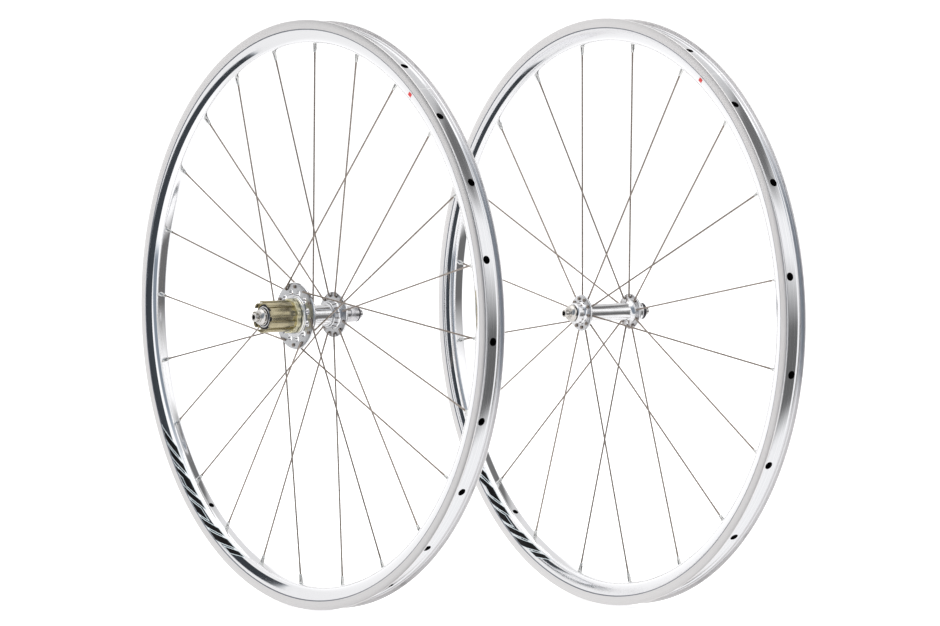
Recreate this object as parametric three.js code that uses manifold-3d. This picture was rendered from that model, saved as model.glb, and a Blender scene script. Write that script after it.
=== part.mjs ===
// Road bicycle wheelset: a rear wheel with a ratcheting freehub body, and a front wheel. Both are
// spoked wheels on hollow axles that take a quick-release skewer.
//
// Millimetres, +Z up. The rear axle lies along Y, with the drive side towards -Y. The origin is the centre
// of the rear wheel. Each wheel is drawn round the Y axis, and the front one is then turned and moved into
// place. An angle round a wheel is measured in the XZ plane, from +X towards +Z.
import * as THREE from "three";
import { mergeVertices } from "three/addons/utils/BufferGeometryUtils.js";
import Module from "manifold-3d";

const wasm = await Module();
wasm.setup();

// ---- driving dimensions ----

const GAP = 0.3; // clearance left between neighbouring pieces
const FRONT_AT = [190, 261, 0]; // the front wheel's centre
const FRONT_TURN = -5.7; // degrees about Z: the front axle stands a little askew to the rear one

const RIM = {
  outerRadius: 317, // a rim for a 622 mm bead seat
  bedRadius: 293.2, // where the spoke bed faces the hub
  wellRadius: 311.6, // the floor between the two bead shelves
  halfWidth: 12.5,
  wall: 1.6,
  nippleHoleRadius: 2.5,
  accessHoleRadius: 4.5,
  valveHoleRadius: 3.2,
};

const SPOKE = {
  radius: 1,
  holeRadius: 1.4, // in the flange
  elbow: 2.6, // from the flange's face to the middle of the wire
  headRadius: 1.9,
  headThickness: 1.2,
};

const NIPPLE = {
  radius: 2,
  headRadius: 3,
  visible: 9.5, // length that shows below the spoke bed
  headThickness: 2,
};

const REAR = {
  spokes: 24,
  rimSegments: 48,
  shellSegments: 24,
  valveAngle: -131.1,
  locknut: 65, // half of the 130 mm over the locknuts
  stub: 5.8, // what reaches past a locknut, into the dropout
  stubRadius: 4.9,
  axleRadius: 6,
  axleEndRadius: 5,
  skewerRadius: 2.65,
  endRadius: 8.9,
  barrelRadius: 11.2,
  bearing: { outer: 12, width: 5.8 },
  smallBearing: { outer: 10.5, width: 5 },
};
REAR.drive = { outer: -18.2, inner: -15, radius: 36, holeCircle: 31.5, holeCount: 12 };
REAR.other = { outer: 36, inner: 33, radius: 24.9, holeCircle: 20.4, holeCount: 12 };
const DRIVE_CROSSING = 60; // degrees that a twice-crossed spoke turns back round the flange

const FREEHUB = {
  outerEnd: -60.5,
  stopFace: -24, // the face that the largest sprocket rests on
  innerEnd: -21.3,
  skirtEnd: -12.4,
  crest: 17.2,
  root: 14.9,
  splines: 9,
  crestShare: 0.6, // of each spline's pitch
  flangeRadius: 18.8,
  skirtRadius: 13.8,
  mouth: { radius: 15.6, depth: 3.5 }, // wider than the grooves' floor, so the splines end as teeth
};

const RATCHET = { teeth: 24, root: 16.6, tip: 15.2, pawls: 2, near: -20, far: -15.5 };

const FRONT = {
  spokes: 20,
  rimSegments: 40,
  shellSegments: 20,
  valveAngle: -127.2,
  locknut: 50, // half of the 100 mm over the locknuts
  stub: 5.8,
  stubRadius: 4.4,
  axleRadius: 4.5,
  axleEndRadius: 3.8,
  skewerRadius: 2.65,
  endRadius: 9.1,
  barrelRadius: 9.5,
  bearing: { outer: 8.5, width: 5 },
};
FRONT.left = { outer: -34, inner: -31.2, radius: 19.5, holeCircle: 15.6, holeCount: 10 };
FRONT.right = { outer: 34, inner: 31.2, radius: 19.5, holeCircle: 15.6, holeCount: 10 };

const SMALL_SEGMENTS = 16;
const WIRE_SIDES = 6;

// ---- finishes ----

function finish(color, roughness, metalness) {
  return new THREE.MeshStandardMaterial({ color, roughness, metalness });
}

const polishedAlloy = finish(0xdedfe2, 0.18, 1);
const satinAlloy = finish(0xc9cacd, 0.4, 1);
const goldAnodised = finish(0xa59c76, 0.45, 1);
const stainless = finish(0xa39a94, 0.3, 1);
const bearingSteel = finish(0x8d9096, 0.35, 1);
const hardSteel = finish(0x6f7176, 0.45, 1);

// ---- shape helpers ----

const radians = THREE.MathUtils.degToRad;

// A closed three.js geometry as a solid that can be cut and joined.
function solidOf(geometry) {
  const bare = geometry.clone();
  bare.deleteAttribute("normal");
  bare.deleteAttribute("uv");
  const merged = mergeVertices(bare, 1e-4);
  return new wasm.Manifold(
    new wasm.Mesh({
      numProp: 3,
      vertProperties: merged.attributes.position.array,
      triVerts: new Uint32Array(merged.index.array),
    }),
  );
}

function geometryOf(solid) {
  const mesh = solid.getMesh();
  const geometry = new THREE.BufferGeometry();
  geometry.setAttribute("position", new THREE.BufferAttribute(mesh.vertProperties, 3));
  geometry.setIndex(new THREE.BufferAttribute(mesh.triVerts, 1));
  geometry.computeVertexNormals();
  return geometry;
}

// A closed outline of [radius, y] points turned about the axle line.
function revolve(outline, segments) {
  const points = outline.map(([radius, y]) => new THREE.Vector2(radius, y));
  if (THREE.ShapeUtils.isClockWise(points)) points.reverse();
  points.push(points[0].clone());
  return new THREE.LatheGeometry(points, segments);
}

// Turns a lathed piece about its axle so that the middle of a flat falls at an angle.
function facing(geometry, degrees, segments) {
  return geometry.rotateY(radians(90 - 180 / segments - degrees));
}

// A ring between two radii and two places along the axle.
function ring(inner, outer, from, to, segments) {
  return revolve([[inner, from], [outer, from], [outer, to], [inner, to]], segments);
}

// An outline in the XZ plane, as [x, z] points, given thickness along the axle.
function slab(outline, from, to) {
  const shape = new THREE.Shape(outline.map(([x, z]) => new THREE.Vector2(x, -z)));
  const geometry = new THREE.ExtrudeGeometry(shape, { depth: to - from, bevelEnabled: false });
  return geometry.rotateX(-Math.PI / 2).translate(0, from, 0);
}

function polar(radius, degrees) {
  return [radius * Math.cos(radians(degrees)), radius * Math.sin(radians(degrees))];
}

// A rod along the axle at a place on a flange, for cutting a hole.
function axialRod(radius, circle, degrees, from, to, sides) {
  const [x, z] = polar(circle, degrees);
  const rod = new THREE.CylinderGeometry(radius, radius, to - from, sides);
  return rod.translate(x, (from + to) / 2, z);
}

// A rod pointing out from the axle, for cutting a hole in a rim.
function radialRod(radius, degrees, from, to, sides) {
  const rod = new THREE.CylinderGeometry(radius, radius, to - from, sides);
  return rod.translate(0, (from + to) / 2, 0).rotateX(Math.PI / 2).rotateY(radians(90 - degrees));
}

function cut(geometry, cutters) {
  const solid = cutters.reduce((left, cutter) => left.subtract(solidOf(cutter)), solidOf(geometry));
  return geometryOf(solid);
}

// A wire skin over rings of one size or another: each is a middle, a direction along the wire and a radius.
// Every direction is square to the one side vector, so the skin never twists.
function wireSkin(rings, side, sides) {
  const positions = [];
  for (const { middle, along, radius } of rings) {
    const up = new THREE.Vector3().crossVectors(along, side).normalize();
    for (let k = 0; k < sides; k++) {
      const turn = (2 * Math.PI * k) / sides;
      const point = middle.clone();
      point.addScaledVector(side, radius * Math.cos(turn));
      point.addScaledVector(up, radius * Math.sin(turn));
      positions.push(point.x, point.y, point.z);
    }
  }
  const index = [];
  for (let r = 0; r + 1 < rings.length; r++) {
    for (let k = 0; k < sides; k++) {
      const a = r * sides + k;
      const b = r * sides + ((k + 1) % sides);
      index.push(a, b, a + sides, b, b + sides, a + sides);
    }
  }
  const last = (rings.length - 1) * sides;
  for (let k = 1; k + 1 < sides; k++) {
    index.push(0, k + 1, k, last, last + k, last + k + 1);
  }
  const geometry = new THREE.BufferGeometry();
  geometry.setAttribute("position", new THREE.Float32BufferAttribute(positions, 3));
  geometry.setIndex(index);
  geometry.computeVertexNormals();
  return geometry;
}

function part(name, geometry, material) {
  const mesh = new THREE.Mesh(geometry, material);
  mesh.name = name;
  return mesh;
}

const number = (k) => String(k + 1).padStart(2, "0");

// ---- rim ----

// A hooked, box-section rim. Its hollow opens through the nipple holes and the holes above them.
function rim({ spokes, valveAngle, rimSegments }) {
  const { outerRadius, bedRadius, wellRadius, halfWidth, wall } = RIM;
  const half = [
    [bedRadius, 3.2],
    [bedRadius + 4, 9],
    [outerRadius - 10.2, halfWidth],
    [outerRadius, halfWidth],
    [outerRadius, halfWidth - 1.4],
    [wellRadius + 1.2, halfWidth - 1.8],
    [wellRadius + 0.8, 6.9],
    [wellRadius, 5.2],
  ];
  const hollow = [
    [bedRadius + wall, 2.6],
    [bedRadius + 5.2, 7.8],
    [wellRadius - wall, 8.6],
  ];
  const mirrored = (side) => [...side, ...side.map(([r, y]) => [r, -y]).reverse()];
  const pitch = 360 / spokes;
  const cutters = [facing(revolve(mirrored(hollow), rimSegments), valveAngle + pitch / 2, rimSegments)];
  for (let k = 0; k < spokes; k++) {
    const angle = valveAngle + pitch * (k + 0.5);
    const middle = (bedRadius + wellRadius) / 2;
    cutters.push(radialRod(RIM.nippleHoleRadius, angle, bedRadius - 3, middle, WIRE_SIDES));
    cutters.push(radialRod(RIM.accessHoleRadius, angle, middle, outerRadius - 3, WIRE_SIDES));
  }
  cutters.push(radialRod(RIM.valveHoleRadius, valveAngle, bedRadius - 3, outerRadius - 3, WIRE_SIDES));
  return cut(facing(revolve(mirrored(half), rimSegments), valveAngle + pitch / 2, rimSegments), cutters);
}

// ---- spokes ----

// A spoke and the nipple threaded on it. Its head stands against one face of the flange, its elbow bends
// out of the other face, and the wire runs straight to the rim's middle plane.
function spoke(flange, flangeAngle, rimAngle, headOutside) {
  const middle = (flange.outer + flange.inner) / 2;
  const half = Math.abs(flange.outer - flange.inner) / 2;
  const outwards = Math.sign(flange.outer - flange.inner);
  const towardsElbow = headOutside ? -outwards : outwards;
  const [holeX, holeZ] = polar(flange.holeCircle, flangeAngle);
  const [rimX, rimZ] = polar(RIM.bedRadius + RIM.wall / 2, rimAngle);
  const axial = new THREE.Vector3(0, towardsElbow, 0);
  const hole = new THREE.Vector3(holeX, middle, holeZ);
  const corner = hole.clone().addScaledVector(axial, half + SPOKE.elbow);
  const target = new THREE.Vector3(rimX, 0, rimZ);
  const out = target.clone().sub(corner);
  const length = out.length();
  out.normalize();
  const side = new THREE.Vector3().crossVectors(axial, out).normalize();
  const radial = new THREE.Vector3(rimX, 0, rimZ).normalize();
  const lean = out.dot(radial);
  const alongPin = (distance) => hole.clone().addScaledVector(axial, distance);
  const alongWire = (distance) => corner.clone().addScaledVector(out, distance);
  const bed = length - RIM.wall / 2 / lean;
  const seat = length + (RIM.wall / 2 + GAP) / lean + 0.3;
  const bendLength = 1.4;
  return wireSkin(
    [
      { middle: alongPin(-half - GAP - SPOKE.headThickness), along: axial, radius: SPOKE.headRadius * 0.7 },
      { middle: alongPin(-half - GAP), along: axial, radius: SPOKE.headRadius },
      { middle: alongPin(-half), along: axial, radius: SPOKE.radius },
      { middle: alongPin(half + SPOKE.elbow - bendLength), along: axial, radius: SPOKE.radius },
      { middle: alongWire(bendLength), along: out, radius: SPOKE.radius },
      { middle: alongWire(bed - NIPPLE.visible), along: out, radius: SPOKE.radius },
      { middle: alongWire(bed - NIPPLE.visible + 0.8), along: out, radius: NIPPLE.radius },
      { middle: alongWire(seat), along: out, radius: NIPPLE.radius },
      { middle: alongWire(seat + NIPPLE.headThickness), along: out, radius: NIPPLE.headRadius },
    ],
    side,
    WIRE_SIDES,
  );
}

// Angles of the nipple holes, which start half a pitch past the valve and go round by turns to each flange.
function nippleAngle(wheel, k) {
  return wheel.valveAngle + (360 / wheel.spokes) * (k + 0.5);
}

// ---- hub shells ----

function flangeHoles(flange, firstAngle, count, radius, circle, sides) {
  const low = Math.min(flange.outer, flange.inner) - 2;
  const high = Math.max(flange.outer, flange.inner) + 2;
  const pitch = 360 / count;
  return Array.from({ length: count }, (_, k) =>
    axialRod(radius, circle, firstAngle + pitch * k, low, high, sides),
  );
}

// The saw-toothed bore that the pawls catch in.
function ratchetBore(from, to) {
  const pitch = 360 / RATCHET.teeth;
  const outline = [];
  for (let k = 0; k < RATCHET.teeth; k++) {
    outline.push(polar(RATCHET.root, k * pitch), polar(RATCHET.tip, (k + 1) * pitch - 0.4));
  }
  return slab(outline, from, to);
}

function rearHubShell(firstDriveHole, firstOtherHole) {
  const { drive, other, bearing, smallBearing, barrelRadius } = REAR;
  const shell = revolve(
    [
      [19.8, -20.8],
      [19.8, drive.outer],
      [drive.radius - 0.8, drive.outer],
      [drive.radius, drive.outer + 0.8],
      [drive.radius, drive.inner - 0.8],
      [drive.radius - 0.8, drive.inner],
      [20.4, drive.inner],
      [16.6, -12],
      [12.6, -1.5],
      [barrelRadius, 4],
      [barrelRadius, 26],
      [14.6, other.inner],
      [other.radius - 0.8, other.inner],
      [other.radius, other.inner + 0.8],
      [other.radius, other.outer - 0.8],
      [other.radius - 0.8, other.outer],
      [14.2, other.outer],
      [13.2, 43.6],
      [smallBearing.outer + GAP, 43.6],
      [smallBearing.outer + GAP, 37.6],
      [8, 37.6],
      [8, -4.8],
      [bearing.outer + GAP, -4.8],
      [bearing.outer + GAP, -11.4],
      [RATCHET.tip - 0.6, -11.4],
      [RATCHET.tip - 0.6, -20.8],
    ],
    REAR.shellSegments,
  );
  const lightening = flangeHoles(drive, firstDriveHole + 15, 12, 2.9, 24.6, WIRE_SIDES);
  return cut(facing(shell, firstDriveHole, REAR.shellSegments), [
    ratchetBore(-21.5, -14.9),
    ...flangeHoles(drive, firstDriveHole, drive.holeCount, SPOKE.holeRadius, drive.holeCircle, WIRE_SIDES),
    ...lightening,
    ...flangeHoles(other, firstOtherHole, other.holeCount, SPOKE.holeRadius, other.holeCircle, WIRE_SIDES),
  ]);
}

function frontHubShell(firstLeftHole, firstRightHole) {
  const { left, right, bearing, barrelRadius } = FRONT;
  const end = 44.2;
  const seatDepth = bearing.width + 2.2;
  const half = [
    [barrelRadius, 26],
    [12.4, right.inner - 0.6],
    [right.radius - 0.7, right.inner],
    [right.radius, right.inner + 0.7],
    [right.radius, right.outer - 0.7],
    [right.radius - 0.7, right.outer],
    [13.4, right.outer],
    [12.6, right.outer + 1.4],
    [10.4, end - 2],
    [10.4, end],
    [bearing.outer + GAP, end],
    [bearing.outer + GAP, end - seatDepth],
    [6.4, end - seatDepth],
  ];
  const shell = revolve([...half, ...half.map(([r, y]) => [r, -y]).reverse()], FRONT.shellSegments);
  return cut(facing(shell, firstLeftHole, FRONT.shellSegments), [
    ...flangeHoles(left, firstLeftHole, left.holeCount, SPOKE.holeRadius, left.holeCircle, WIRE_SIDES),
    ...flangeHoles(right, firstRightHole, right.holeCount, SPOKE.holeRadius, right.holeCircle, WIRE_SIDES),
  ]);
}

// ---- axles ----

// A hollow axle with one end built on. The other end steps down to take a separate end cap.
function axle({ axleRadius, axleEndRadius, skewerRadius, endRadius, locknut, stub, stubRadius }, shoulder, capSeat) {
  return revolve(
    [
      [axleEndRadius, -locknut + 1.5],
      [axleEndRadius, -capSeat],
      [axleRadius, -capSeat],
      [axleRadius, shoulder],
      [endRadius, shoulder],
      [endRadius, locknut - 1],
      [endRadius - 1, locknut],
      [stubRadius, locknut],
      [stubRadius, locknut + stub],
      [skewerRadius, locknut + stub],
      [skewerRadius, -locknut + 1.5],
    ],
    SMALL_SEGMENTS,
  );
}

// The cap on the stepped end: a tapered locknut with the stub that sits in the dropout.
function endCap({ axleEndRadius, skewerRadius, locknut, stub, stubRadius }, base, baseRadius, faceRadius) {
  return revolve(
    [
      [skewerRadius, -locknut - stub],
      [stubRadius, -locknut - stub],
      [stubRadius, -locknut],
      [faceRadius, -locknut],
      [baseRadius, -locknut + 3.5],
      [baseRadius, -base],
      [axleEndRadius + GAP, -base],
      [axleEndRadius + GAP, -locknut + 1.5 - GAP],
      [skewerRadius, -locknut + 1.5 - GAP],
    ],
    SMALL_SEGMENTS,
  );
}

function bearing(inner, { outer, width }, from) {
  return ring(inner + GAP, outer, from, from + width, SMALL_SEGMENTS);
}

// ---- freehub body and pawls ----

function splinedBarrel(from, to) {
  const pitch = 360 / FREEHUB.splines;
  const outline = [];
  for (let k = 0; k < FREEHUB.splines; k++) {
    const start = k * pitch;
    const crestEnd = start + pitch * FREEHUB.crestShare;
    outline.push(polar(FREEHUB.crest, start), polar(FREEHUB.crest, (start + crestEnd) / 2));
    outline.push(polar(FREEHUB.crest, crestEnd), polar(FREEHUB.root, crestEnd));
    outline.push(polar(FREEHUB.root, start + pitch));
  }
  return slab(outline, from, to);
}

// A pawl's outline at angle 0, with its tip in a tooth's root and its heel in the skirt.
const PAWL_PIVOT = [10.87, 5.54];
const PAWL_OUTLINE = [
  [15.95, 0.55],
  [15.1, 2.3],
  [12.1, 6.5],
  [10.9, 7],
  [9.7, 6.5],
  [9.3, 5.2],
  [10.2, 4.1],
  [14.1, 0.5],
];
const PAWL_POCKET = [
  [15.6, -1.2],
  [12.2, -1.2],
  [8.4, 3.4],
  [8.4, 6.6],
  [10.6, 8.4],
  [15.6, 8.4],
];

function turned(outline, degrees) {
  const cosine = Math.cos(radians(degrees));
  const sine = Math.sin(radians(degrees));
  return outline.map(([x, z]) => [x * cosine - z * sine, x * sine + z * cosine]);
}

function pawl(k) {
  return slab(turned(PAWL_OUTLINE, (360 / RATCHET.pawls) * k), RATCHET.near, RATCHET.far);
}

function freehubBody() {
  const { outerEnd, stopFace, innerEnd, skirtEnd, flangeRadius, skirtRadius, mouth } = FREEHUB;
  const disc = (radius, from, to) => solidOf(axialRod(radius, 0, 0, from, to, REAR.shellSegments));
  const body = solidOf(splinedBarrel(outerEnd, stopFace + 0.5))
    .add(disc(flangeRadius, stopFace, innerEnd))
    .add(disc(skirtRadius, innerEnd - 0.5, skirtEnd))
    .subtract(disc(mouth.radius, outerEnd - 1, outerEnd + mouth.depth))
    .subtract(disc(REAR.smallBearing.outer + GAP, outerEnd + 2, outerEnd + 8.6))
    .subtract(disc(8.6, outerEnd + 8, stopFace - 4))
    .subtract(disc(7, stopFace - 5, skirtEnd + 1));
  const pockets = Array.from({ length: RATCHET.pawls }, (_, k) =>
    solidOf(slab(turned(PAWL_POCKET, (360 / RATCHET.pawls) * k), RATCHET.near - 0.4, RATCHET.far + 0.4)),
  );
  return geometryOf(pockets.reduce((left, pocket) => left.subtract(pocket), body));
}

// ---- assembly ----

function rearWheel() {
  const wheel = new THREE.Group();
  const firstNipple = nippleAngle(REAR, 0);
  wheel.add(part("rear_rim", rim(REAR), polishedAlloy));
  // The first nipple hole is the drive side's, whose flange holes lie a whole number of pitches from it.
  wheel.add(part("rear_hub_shell", rearHubShell(firstNipple, nippleAngle(REAR, 1)), polishedAlloy));
  for (let k = 0; k < REAR.spokes / 2; k++) {
    const driveAngle = nippleAngle(REAR, 2 * k);
    const headOutside = k % 2 === 1;
    const flangeAngle = driveAngle + (headOutside ? -DRIVE_CROSSING : DRIVE_CROSSING);
    const driveSpoke = spoke(REAR.drive, flangeAngle, driveAngle, headOutside);
    wheel.add(part(`rear_spoke_drive_${number(k)}`, driveSpoke, stainless));
    const otherAngle = nippleAngle(REAR, 2 * k + 1);
    const otherSpoke = spoke(REAR.other, otherAngle, otherAngle, true);
    wheel.add(part(`rear_spoke_other_${number(k)}`, otherSpoke, stainless));
  }
  wheel.add(part("rear_bearing_drive", bearing(REAR.axleRadius, REAR.bearing, -11.1), bearingSteel));
  wheel.add(part("rear_bearing_other", bearing(REAR.axleRadius, REAR.smallBearing, 38), bearingSteel));
  wheel.add(part("rear_axle", axle(REAR, 44.2, 56.7), satinAlloy));
  wheel.add(part("rear_end_cap_drive", endCap(REAR, 57.6, 9.2, 7.4), satinAlloy));
  wheel.add(part("freehub_body", freehubBody(), goldAnodised));
  wheel.add(part("freehub_bearing", bearing(REAR.axleRadius, REAR.smallBearing, -57.2), bearingSteel));
  for (let k = 0; k < RATCHET.pawls; k++) {
    wheel.add(part(`pawl_${k + 1}`, pawl(k), hardSteel));
  }
  return wheel;
}

function frontWheel() {
  const wheel = new THREE.Group();
  wheel.add(part("front_rim", rim(FRONT), polishedAlloy));
  wheel.add(part("front_hub_shell", frontHubShell(nippleAngle(FRONT, 0), nippleAngle(FRONT, 1)), polishedAlloy));
  for (let k = 0; k < FRONT.spokes / 2; k++) {
    const leftAngle = nippleAngle(FRONT, 2 * k);
    const rightAngle = nippleAngle(FRONT, 2 * k + 1);
    const leftSpoke = spoke(FRONT.left, leftAngle, leftAngle, true);
    const rightSpoke = spoke(FRONT.right, rightAngle, rightAngle, true);
    wheel.add(part(`front_spoke_left_${number(k)}`, leftSpoke, stainless));
    wheel.add(part(`front_spoke_right_${number(k)}`, rightSpoke, stainless));
  }
  const seat = 43.8 - FRONT.bearing.width;
  wheel.add(part("front_bearing_left", bearing(FRONT.axleRadius, FRONT.bearing, -43.8), bearingSteel));
  wheel.add(part("front_bearing_right", bearing(FRONT.axleRadius, FRONT.bearing, seat), bearingSteel));
  wheel.add(part("front_axle", axle(FRONT, 44.6, 44.4), satinAlloy));
  wheel.add(part("front_end_cap_left", endCap(FRONT, 44.7, 9.1, 7.2), satinAlloy));
  wheel.rotation.z = radians(FRONT_TURN);
  wheel.position.set(...FRONT_AT);
  return wheel;
}

const wheelset = new THREE.Group();
wheelset.add(rearWheel(), frontWheel());

export default wheelset;
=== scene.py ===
"""A road bicycle wheelset in polished alloy: a rear wheel with a splined freehub body, and a front wheel.

Sizes are millimetres unless a name ends in _M. Each wheel is modelled round the Y axis, and the front
wheel's pieces are then turned and moved into place. An angle round a wheel runs from +X towards +Z.
"""

import math

import bpy
from mathutils import Matrix, Vector


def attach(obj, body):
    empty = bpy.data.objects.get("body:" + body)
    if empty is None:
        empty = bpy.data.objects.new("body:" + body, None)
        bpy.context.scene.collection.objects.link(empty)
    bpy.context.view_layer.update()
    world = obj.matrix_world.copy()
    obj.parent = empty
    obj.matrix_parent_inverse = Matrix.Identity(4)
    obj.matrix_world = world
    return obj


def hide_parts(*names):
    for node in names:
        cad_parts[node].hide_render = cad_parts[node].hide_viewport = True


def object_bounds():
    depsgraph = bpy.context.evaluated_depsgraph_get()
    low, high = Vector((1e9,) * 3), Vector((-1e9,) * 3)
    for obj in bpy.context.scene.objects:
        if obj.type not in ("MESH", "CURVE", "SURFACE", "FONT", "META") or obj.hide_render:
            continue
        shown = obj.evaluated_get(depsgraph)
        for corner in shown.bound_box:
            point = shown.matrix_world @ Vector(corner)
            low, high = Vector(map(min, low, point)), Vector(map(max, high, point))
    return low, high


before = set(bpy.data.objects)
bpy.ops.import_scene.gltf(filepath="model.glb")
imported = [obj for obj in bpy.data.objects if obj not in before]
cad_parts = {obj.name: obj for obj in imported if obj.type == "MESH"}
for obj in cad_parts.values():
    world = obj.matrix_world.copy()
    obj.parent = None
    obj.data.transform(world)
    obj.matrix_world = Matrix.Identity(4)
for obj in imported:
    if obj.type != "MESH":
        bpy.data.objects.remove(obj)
cad_box = [list(corner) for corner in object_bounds()]

MM = 0.001
FRONT_AT = (190, 261, 0)
FRONT_TURN = math.radians(-5.7)

# ---- the wheels' sizes ----

BED = 292.4  # radius of the spoke bed's middle

# "valve" is the angle of the valve hole round the wheel
REAR = {"body": "rear_wheel", "spokes": 24, "valve": -131.1}
FRONT = {"body": "front_wheel", "spokes": 20, "valve": -127.2}
# a flange's two faces along the axle, and the radius of its circle of spoke holes
DRIVE_FLANGE = {"outer": -18.2, "inner": -15, "circle": 31.5}
OTHER_FLANGE = {"outer": 36, "inner": 33, "circle": 20.4}
LEFT_FLANGE = {"outer": -34, "inner": -31.2, "circle": 15.6}
RIGHT_FLANGE = {"outer": 34, "inner": 31.2, "circle": 15.6}
DRIVE_CROSSING = 60  # degrees from a drive-side spoke's nipple to its hole in the flange
SPOKE_HOLE = 1.35


def nipple_angle(wheel, k):
    """The angle of nipple k. The valve hole lies midway between two nipples."""
    return wheel["valve"] + 360 / wheel["spokes"] * (k + 0.5)


def from_axle(point):
    """A point's distance from its wheel's axle, before it is put into its wheel's place."""
    return math.hypot(point.x, point.z) / MM


# ---- modelling helpers ----


def deselect():
    bpy.ops.object.select_all(action="DESELECT")


def pick(obj):
    deselect()
    obj.select_set(True)
    bpy.context.view_layer.objects.active = obj


def added(name):
    """The primitive just added, under its own name."""
    obj = bpy.context.object
    obj.name = name
    obj.data.name = name
    return obj


def edit(obj):
    pick(obj)
    bpy.ops.object.mode_set(mode="EDIT")


def leave_edit():
    bpy.ops.object.mode_set(mode="OBJECT")


def apply_place(obj):
    pick(obj)
    bpy.ops.object.transform_apply(location=True, rotation=True, scale=True)


def in_wheel(obj, wheel):
    """Puts a piece that was modelled round the Y axis into its own wheel's place."""
    if wheel is FRONT:
        obj.rotation_euler = (0, 0, FRONT_TURN)
        obj.location = [v * MM for v in FRONT_AT]
        apply_place(obj)


def smooth(obj, degrees=32):
    pick(obj)
    bpy.ops.object.shade_smooth_by_angle(angle=math.radians(degrees))


def turned(name, outline, steps):
    """A closed outline of (radius, y) points spun round the axle."""
    bpy.ops.mesh.primitive_circle_add(vertices=len(outline), radius=MM)
    obj = added(name)
    for vertex, (radius, y) in zip(obj.data.vertices, outline):
        vertex.co = (radius * MM, y * MM, 0)
    edit(obj)
    bpy.ops.mesh.select_all(action="SELECT")
    bpy.ops.mesh.spin(
        steps=steps, angle=2 * math.pi, center=(0, 0, 0), axis=(0, 1, 0)
    )
    bpy.ops.mesh.select_all(action="SELECT")
    bpy.ops.mesh.remove_doubles(threshold=2e-6)
    bpy.ops.mesh.normals_make_consistent(inside=False)
    leave_edit()
    return obj


def rod(radius, start, end, sides, at=(0, 0, 0)):
    """A plain round cutter along Y."""
    middle = (start + end) / 2
    bpy.ops.mesh.primitive_cylinder_add(
        vertices=sides,
        radius=radius * MM,
        depth=(end - start) * MM,
        location=(at[0] * MM, middle * MM, at[2] * MM),
        rotation=(math.pi / 2, 0, 0),
    )
    return added("cutter")


def spoke_way_rod(hole, degrees, across=0.0):
    """A plain round cutter that points out from the axle, at a distance across the rim."""
    middle = (hole["from"] + hole["to"]) / 2
    a = math.radians(degrees)
    bpy.ops.mesh.primitive_cylinder_add(
        vertices=HOLE_SIDES,
        radius=hole["radius"] * MM,
        depth=(hole["to"] - hole["from"]) * MM,
        location=(middle * MM * math.cos(a), across * MM, middle * MM * math.sin(a)),
        rotation=(0, math.pi / 2 - a, 0),
    )
    return added("cutter")


def joined(objects, name):
    deselect()
    for obj in objects:
        obj.select_set(True)
    bpy.context.view_layer.objects.active = objects[0]
    bpy.ops.object.join()
    obj = bpy.context.object
    obj.name = name
    bpy.ops.object.transform_apply(location=True, rotation=True, scale=True)
    return obj


def cut_with(obj, cutters):
    """Takes a set of cutters out of a piece."""
    tool = joined(cutters, "cutters")
    pick(obj)
    modifier = obj.modifiers.new("cut", "BOOLEAN")
    modifier.operation = "DIFFERENCE"
    modifier.solver = "EXACT"
    modifier.object = tool
    bpy.ops.object.modifier_apply(modifier=modifier.name)
    bpy.data.objects.remove(tool, do_unlink=True)


def bevelled(obj, width, segments=2, degrees=35):
    pick(obj)
    modifier = obj.modifiers.new("edges", "BEVEL")
    modifier.width = width * MM
    modifier.segments = segments
    modifier.limit_method = "ANGLE"
    modifier.angle_limit = math.radians(degrees)
    modifier.harden_normals = False
    bpy.ops.object.modifier_apply(modifier=modifier.name)


def copy_of(obj, name):
    """A copy with a mesh of its own."""
    twin = obj.copy()
    twin.data = obj.data.copy()
    twin.name = name
    twin.data.name = name
    bpy.context.scene.collection.objects.link(twin)
    return twin


def both_sides(half):
    """An outline whose other half is its mirror across the rim's middle plane."""
    return list(half) + [(r, -y) for r, y in reversed(half) if abs(y) > 1e-9]


# ---- materials ----


def linear(hex_colour):
    """An sRGB hex value as linear RGBA."""
    channels = [int(hex_colour[i : i + 2], 16) / 255 for i in (1, 3, 5)]
    return [
        c / 12.92 if c <= 0.04045 else ((c + 0.055) / 1.055) ** 2.4 for c in channels
    ] + [1.0]


def node(tree, kind, settings=None, links=None, inputs=None):
    """Adds a node with its settings, its input values and the sockets that feed it."""
    made = tree.nodes.new(kind)
    for key, value in (settings or {}).items():
        setattr(made, key, value)
    for key, value in (inputs or {}).items():
        made.inputs[key].default_value = value
    for key, socket in (links or {}).items():
        tree.links.new(socket, made.inputs[key])
    return made


def finish(name, colour, metallic, roughness, coat=0.0):
    material = bpy.data.materials.new(name)
    material.use_nodes = True
    tree = material.node_tree
    shader = tree.nodes["Principled BSDF"]
    shader.inputs["Base Color"].default_value = linear(colour)
    shader.inputs["Metallic"].default_value = metallic
    shader.inputs["Roughness"].default_value = roughness
    if coat:
        shader.inputs["Coat Weight"].default_value = coat
        shader.inputs["Coat Roughness"].default_value = 0.08
    return material, tree, shader


def wheel_place(tree, wheel):
    """Coordinates with the wheel's centre at zero and its axle along Y, in metres."""
    coords = node(tree, "ShaderNodeTexCoord")
    if wheel is not FRONT:
        return coords.outputs["Object"]
    # a TEXTURE mapping takes the turn and the place off again
    mapping = node(
        tree,
        "ShaderNodeMapping",
        {"vector_type": "TEXTURE"},
        {"Vector": coords.outputs["Object"]},
        {"Location": [v * MM for v in FRONT_AT], "Rotation": (0, 0, FRONT_TURN)},
    )
    return mapping.outputs["Vector"]


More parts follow.
